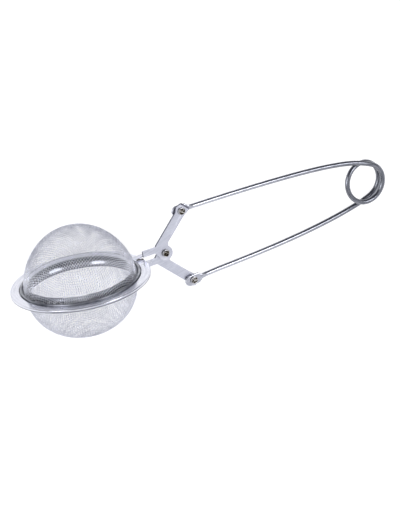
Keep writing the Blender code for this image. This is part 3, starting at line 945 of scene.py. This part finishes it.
def make_lever(name, upper, body, cad_node):
    """A stamped lever with its foot against the rim, two rivet holes and softened edges."""
    side = 1.0 if upper else -1.0
    middle_y = FRONT_Y if upper else BACK_Y
    low_y = middle_y - PLATE_T / 2
    arm_end_x = UPPER_ARM_END_X if upper else LOWER_ARM_END_X
    lap_x = arm_end_x + FOOT_LAP
    outline = [(x, LEVER_Z + side * rise) for x, rise in lever_outline(arm_end_x)]
    plate = flat_solid(name, outline, low_y, low_y + PLATE_T)
    if upper:
        inner_x, low_z = UPPER_FOOT_X, UPPER_FOOT_Z
        start_y, end_y = low_y + 0.9, low_y + FOOT_WIDTH
    else:
        inner_x, low_z = LOWER_FOOT_X, -LIP_DEPTH - GAP - FOOT_T
        start_y, end_y = low_y + PLATE_T - FOOT_WIDTH, low_y + PLATE_T
    top_z = low_z + FOOT_T
    section = [(inner_x, low_z), (lap_x, low_z), (lap_x, top_z), (inner_x, top_z)]
    boolean(plate, flat_solid("foot", section, start_y, end_y), "UNION")
    for centre in (PIVOT, (RIVET_X, LEVER_Z + side * RIVET_RISE)):
        boolean(plate, drill_tool(centre, HOLE_R), "DIFFERENCE")
    if upper:
        boolean(plate, crown_cut(low_y), "DIFFERENCE")
    bevelled(plate, EDGE_BEVEL)
    edge_lights = [edge_light_kind(f.normal) for f in plate.data.polygons]
    into_row(plate)
    finish_piece(plate, LEVER_LOOK, body, [cad_node])
    # Lever edges take painted shade, and those facing down a painted highlight.
    plate.data.materials.append(SHEARED_SHADE_LOOK)
    plate.data.materials.append(PAINTED_HIGHLIGHT_LOOK)
    for polygon, kind in zip(plate.data.polygons, edge_lights):
        polygon.material_index = kind


def edge_light_kind(normal):
    """A lever face's material by its facing: 0 the brushed flats, 1 the edges, with painted shade, 2 the
    edges facing down, with a painted highlight.
    """
    if abs(normal.y) > 0.9 or abs(normal.z) > 0.999:
        return 0
    return 2 if normal.z < -0.3 else 1


def crown_cut(low_y):
    """A wedge that slopes the upper head's front edge back, from its top corner to its outer one."""
    rivet = Vector((RIVET_X, LEVER_Z + RIVET_RISE))
    along, left = strip_axes()
    head_x = HEAD_CORNERS[2][0]
    ends = [rivet + along * head_x + left * aside for aside in (-4.5, 2.2)]
    deep_y = low_y + 0.62
    clear_y = low_y - 0.6
    builder = bmesh.new()
    rows = []
    for end in ends:
        inner = end - along * 0.75
        outer = end + along * 1.0
        section = [(inner, clear_y), (inner, low_y), (end, deep_y), (outer, deep_y), (outer, clear_y)]
        rows.append([builder.verts.new((q.x, y, q.y)) for q, y in section])
    count = len(rows[0])
    for i in range(count):
        j = (i + 1) % count
        builder.faces.new([rows[0][i], rows[0][j], rows[1][j], rows[1][i]])
    builder.faces.new(rows[0][::-1])
    builder.faces.new(rows[1])
    return closed_object("crown_cut", builder)


make_lever("upper_lever_look", True, "upper_jaw", "upper_lever")
make_lever("lower_lever_look", False, "lower_jaw", "lower_lever")


# ---------------------------------------------------------------- rivets


def make_rivet(name, centre, body, cad_node):
    """A rivet along Y: a set front head with a star-shaped hollow, a shank and a plain back head."""
    around = 48
    grip = GAP / 2 + PLATE_T + GAP
    head_r = RIVET_HEAD_R
    shank_r = RIVET_SHANK_R
    angles = np.arange(around) * 2 * math.pi / around
    star = 0.5 + 0.5 * np.cos(4 * angles + 0.6)
    rings = []
    for radius in (0.18, 0.36, 0.52, 0.66, 0.8, 0.94, 1.08, 1.25, 1.42, 1.58, 1.69, head_r):
        crown = grip + RIVET_CROWN - 0.338 * (radius / head_r) ** 4
        depth = 0.34 * np.clip((0.80 + 0.55 * star - radius) / 0.22, 0.0, 1.0)
        rings.append((np.full(around, radius), -(crown - depth)))
    rings.append((np.full(around, head_r), np.full(around, -grip)))
    rings.append((np.full(around, shank_r), np.full(around, -grip)))
    rings.append((np.full(around, shank_r), np.full(around, grip)))
    rings.append((np.full(around, head_r), np.full(around, grip)))
    for radius, rise in ((head_r, 0.3), (1.6, 0.45), (1.2, 0.5), (0.5, 0.5)):
        rings.append((np.full(around, radius), np.full(around, grip + rise)))
    points = []
    for radii, y in rings:
        ring = [centre[0] + radii * np.cos(angles), y, centre[1] + radii * np.sin(angles)]
        points.append(np.column_stack(ring))
    obj = piece_from(name, np.concatenate(points), stacked_faces(len(rings), around))
    outward(obj)
    finish_piece(obj, RIVET_LOOK, body, [cad_node])

    def plated(middle, normal):
        """True everywhere but on the middle of the front head."""
        out = math.hypot(middle.x - centre[0], middle.z - centre[1])
        return middle.y > 0.0 or out > RIVET_CENTRE_R

    second_finish(obj, PLATED_LOOK, plated)


make_rivet("pivot_rivet_look", PIVOT, "lower_jaw", "pivot_rivet")
make_rivet("upper_handle_rivet_look", (RIVET_X, LEVER_Z + RIVET_RISE), "upper_jaw", "upper_handle_rivet")
make_rivet("lower_handle_rivet_look", (RIVET_X, LEVER_Z - RIVET_RISE), "lower_jaw", "lower_handle_rivet")


# ---------------------------------------------------------------- handle


def smoothstep(value):
    """0 to 1 with level ends."""
    value = min(1.0, max(0.0, value))
    return value * value * (3 - 2 * value)


def coil_point(angle_deg, along):
    """The coil's centreline at an angle, and at a share of its length from the upper arm's end."""
    angle = math.radians(angle_deg)
    y = -COIL_HALF + 2 * COIL_HALF * along + COIL_SKEW * COIL_R * math.cos(angle)
    return Vector((COIL[0] + COIL_R * math.cos(angle), y, COIL[1] + COIL_R * math.sin(angle)))


def arm_points(upper):
    """An arm's centreline from tongue to coil, and its (half width, half thickness, squareness)."""
    side = 1.0 if upper else -1.0
    join_deg = UPPER_JOIN_DEG if upper else LOWER_JOIN_DEG
    tongue_y = BACK_Y if upper else FRONT_Y
    coil_y = coil_point(join_deg, 0.0 if upper else 1.0).y
    slope, first_pull, last_pull = UPPER_BOW if upper else LOWER_BOW
    heading = Vector((1.0, 0.0, slope)).normalized()
    rivet = Vector((RIVET_X, 0.0, LEVER_Z + side * RIVET_RISE))
    start = rivet + heading * (TONGUE_LENGTH - TONGUE_BACK)
    join = coil_point(join_deg, 0.0)
    join.y = 0.0
    angle = math.radians(join_deg)
    tangent = Vector((math.sin(angle), 0.0, -math.cos(angle))) * side
    stations = [TONGUE_HALF * (1 - math.cos(math.radians(a))) for a in range(6, 91, 7)]
    stations += [3.2, 4.0, 4.8, 5.7, 6.6, 7.3]
    stations += [TONGUE_FLAT + (TONGUE_LENGTH - TONGUE_FLAT) * i / 8 for i in range(9)]
    points = [rivet + heading * (s - TONGUE_BACK) for s in stations]
    shapes = []
    for s in stations:
        wide = TONGUE_HALF
        if s < TONGUE_HALF:
            wide = math.sqrt(TONGUE_HALF ** 2 - (TONGUE_HALF - s) ** 2)
        share = smoothstep((s - TONGUE_FLAT) / (TONGUE_LENGTH - TONGUE_FLAT))
        wide += (HANDLE_R - wide) * smoothstep((s - TONGUE_NARROW) / NARROW_RUN)
        shapes.append((wide, TONGUE_HALF_T + (HANDLE_R - TONGUE_HALF_T) * share, 1.0 - share))
    count = round((join - start).length / WIRE_STEP)
    for i in range(1, count):
        t = i / count
        a, b, c, d = start, start + heading * first_pull, join - tangent * last_pull, join
        points.append(a * (1 - t) ** 3 + b * 3 * t * (1 - t) ** 2 + c * 3 * t * t * (1 - t) + d * t ** 3)
        shapes.append((HANDLE_R, HANDLE_R, 0.0))
    ease = 12.0
    wound = COIL_PITCH / (2 * math.pi * COIL_R)
    sway = (wound + COIL_SKEW * math.sin(angle)) / math.sin(angle)
    for point in points:
        share = smoothstep((point.x - start.x) / (join.x - start.x))
        near = max(0.0, 1.0 - (join.x - point.x) / ease)
        point.y = tongue_y + (coil_y - tongue_y) * share + sway * ease * (near ** 3 - near ** 2)
    return points, shapes


def make_handle():
    """The sprung wire in one piece: tongue, upper arm, coil, lower arm, tongue."""
    sides = WIRE_SIDES
    path, shapes = arm_points(True)
    turn = -360.0 * COIL_TURNS
    for i in range(COIL_STEPS + 1):
        path.append(coil_point(UPPER_JOIN_DEG + turn * i / COIL_STEPS, i / COIL_STEPS))
        shapes.append((HANDLE_R, HANDLE_R, 0.0))
    lower_path, lower_shapes = arm_points(False)
    path += lower_path[::-1]
    shapes += lower_shapes[::-1]
    centre = np.array([tuple(p) for p in path])
    forward = np.gradient(centre, axis=0)
    forward /= np.linalg.norm(forward, axis=1)[:, None]
    across = np.cross(forward, (0.0, 1.0, 0.0))
    across /= np.linalg.norm(across, axis=1)[:, None]
    through = np.cross(across, forward)
    angles = (np.arange(sides) + 0.5) * 2 * math.pi / sides
    travelled = np.concatenate([[0.0], np.cumsum(np.linalg.norm(np.diff(centre, axis=0), axis=1))])
    points = []
    uvs = []
    for k in range(len(centre)):
        wide, thick, square = shapes[k]
        power = 1.0 - 0.5 * square
        c = np.sign(np.cos(angles)) * np.abs(np.cos(angles)) ** power
        s = np.sign(np.sin(angles)) * np.abs(np.sin(angles)) ** power
        points.append(centre[k] + across[k] * (wide * c)[:, None] + through[k] * (thick * s)[:, None])
        uvs.append(np.column_stack([np.full(sides, travelled[k]), np.abs(angles / math.pi - 1.0)]))
    rows = len(centre)
    index = np.arange(rows * sides).reshape(rows, sides)
    nxt = np.roll(index, -1, axis=1)
    faces = np.stack([index[:-1], nxt[:-1], nxt[1:], index[1:]], axis=-1).reshape(-1, 4).tolist()
    faces.append(index[0][::-1].tolist())
    faces.append(index[-1].tolist())
    mesh = bpy.data.meshes.new("handle_wire_look")
    mesh.from_pydata(np.concatenate(points).tolist(), [], faces)
    set_uvs(mesh, np.concatenate(uvs))
    obj = bpy.data.objects.new("handle_wire_look", mesh)
    bpy.context.collection.objects.link(obj)
    outward(obj)
    for side, radius in ((1.0, FREE_HOLE_R), (-1.0, HOLE_R)):
        boolean(obj, drill_tool((RIVET_X, LEVER_Z + side * RIVET_RISE), radius), "DIFFERENCE")
    into_row(obj, 50.0)
    nodes = ["handle_wire_upper", "handle_coil", "handle_wire_lower"]
    # The wire takes painted shade round the coil.
    finish_piece(obj, SPRING_SHADED_LOOK, None, nodes)
    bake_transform(obj)


make_handle()


# ---------------------------------------------------------------- floor, light and camera

FLOOR_HALF = 6.0
FLOOR_DROP = 0.0002
floor_corners = [(x * FLOOR_HALF, y * FLOOR_HALF, 0.0) for x, y in ((-1, -1), (1, -1), (1, 1), (-1, 1))]
floor_mesh = bpy.data.meshes.new("floor")
floor_mesh.from_pydata(floor_corners, [], [(0, 1, 2, 3)])
floor = bpy.data.objects.new("floor", floor_mesh)
floor.location.z = -FLOOR_DROP
bpy.context.collection.objects.link(floor)
floor_look = bpy.data.materials.new("floor_look")
floor_look.use_nodes = True
floor_shader = floor_look.node_tree.nodes["Principled BSDF"]
floor_shader.inputs["Base Color"].default_value = (0.40, 0.40, 0.41, 1.0)
floor_shader.inputs["Roughness"].default_value = 0.9
floor_shader.inputs["Specular IOR Level"].default_value = 0.0
floor_shader.inputs["Emission Color"].default_value = (1.0, 1.0, 1.0, 1.0)
floor_shader.inputs["Emission Strength"].default_value = 0.82
floor_mesh.materials.append(floor_look)


def make_world():
    """A white studio with a grey band at the horizon, a dark far wall and two softboxes."""
    world = bpy.data.worlds.new("studio")
    bpy.context.scene.world = world
    world.use_nodes = True
    tree = world.node_tree
    background = tree.nodes["Background"]
    coords = tree.nodes.new("ShaderNodeTexCoord")

    def lobe(towards, edge, full):
        """1 inside a cone about a direction, falling to 0 at its edge."""
        dot = tree.nodes.new("ShaderNodeVectorMath")
        dot.operation = "DOT_PRODUCT"
        dot.inputs[1].default_value = towards
        tree.links.new(coords.outputs["Generated"], dot.inputs[0])
        soft = tree.nodes.new("ShaderNodeMapRange")
        soft.interpolation_type = "SMOOTHSTEP"
        soft.inputs["From Min"].default_value = edge
        soft.inputs["From Max"].default_value = full
        tree.links.new(dot.outputs["Value"], soft.inputs["Value"])
        return soft.outputs["Result"]

    def layer(below, factor, colour):
        """A colour laid over what is below, as far as the factor reaches."""
        mix = tree.nodes.new("ShaderNodeMix")
        mix.data_type = "RGBA"
        tree.links.new(factor, mix.inputs[MIX_FACTOR])
        if below is None:
            mix.inputs[MIX_FIRST].default_value = (0.92, 0.92, 0.93, 1.0)
        else:
            tree.links.new(below, mix.inputs[MIX_FIRST])
        mix.inputs[MIX_SECOND].default_value = (*colour, 1.0)
        return mix.outputs[MIX_COLOUR]

    softbox = (5.0, 5.0, 5.1)
    far = Vector((0.19, 0.63, 0.756)).normalized()
    near = Vector((0.39, -0.85, 0.36)).normalized()
    right_box = direction(0.431, -0.817, 0.30)
    left_box = direction(-0.845, -0.373, 0.30)
    total = layer(None, lobe(Vector((0.0, 0.0, 1.0)), 0.40, 0.16), (0.26, 0.27, 0.31))
    total = layer(total, lobe(far, 0.47, 0.70), (0.16, 0.165, 0.19))
    total = layer(total, lobe(near, 0.6, 0.95), (0.80, 0.81, 0.86))
    for box in (right_box, left_box):
        total = layer(total, lobe(box, 0.955, 0.98), softbox)
    path = tree.nodes.new("ShaderNodeLightPath")
    seen = tree.nodes.new("ShaderNodeMix")
    seen.data_type = "RGBA"
    tree.links.new(path.outputs["Is Camera Ray"], seen.inputs[MIX_FACTOR])
    tree.links.new(total, seen.inputs[MIX_FIRST])
    seen.inputs[MIX_SECOND].default_value = (1.0, 1.0, 1.0, 1.0)
    tree.links.new(seen.outputs[MIX_COLOUR], background.inputs["Color"])


make_world()

# The camera looks down on the lying infuser through a long lens. BALL_AT is where the ball's
# centre falls in the frame, and the three directions are in the ball's frame.
FRAME_W = 400
FRAME_H = 510
PX_PER_MM = 2.285
BALL_AT = (80.9, 280.4)
DISTANCE_MM = 4000.0
SENSOR_MM = 36.0
OBJECT_MIDDLE = Vector((75.0, 0.0, 0.0))
IMAGE_RIGHT = Vector((0.88725, -0.43003, -0.16694))
IMAGE_UP = Vector((0.30767, 0.28200, 0.90874))
TO_CAMERA = Vector((-0.34371, -0.85764, 0.38251))
target = IMAGE_RIGHT * ((FRAME_W / 2 - BALL_AT[0]) / PX_PER_MM)
target += IMAGE_UP * ((BALL_AT[1] - FRAME_H / 2) / PX_PER_MM)
target += TO_CAMERA * (OBJECT_MIDDLE - target).dot(TO_CAMERA)
camera = bpy.data.cameras.new("camera")
camera.sensor_width = SENSOR_MM
camera.lens = SENSOR_MM * DISTANCE_MM * PX_PER_MM / FRAME_H
camera.clip_start = 0.1
camera.clip_end = 30.0
camera_obj = bpy.data.objects.new("camera", camera)
bpy.context.collection.objects.link(camera_obj)
back = direction(*TO_CAMERA)
right = direction(*IMAGE_RIGHT)
right = (right - back * right.dot(back)).normalized()
up = back.cross(right)
turn = Matrix((right, up, back)).transposed().to_4x4()
camera_obj.matrix_world = Matrix.Translation(PLACE @ (target + TO_CAMERA * DISTANCE_MM)) @ turn
bpy.context.scene.camera = camera_obj
bpy.context.scene.view_settings.view_transform = "Standard"
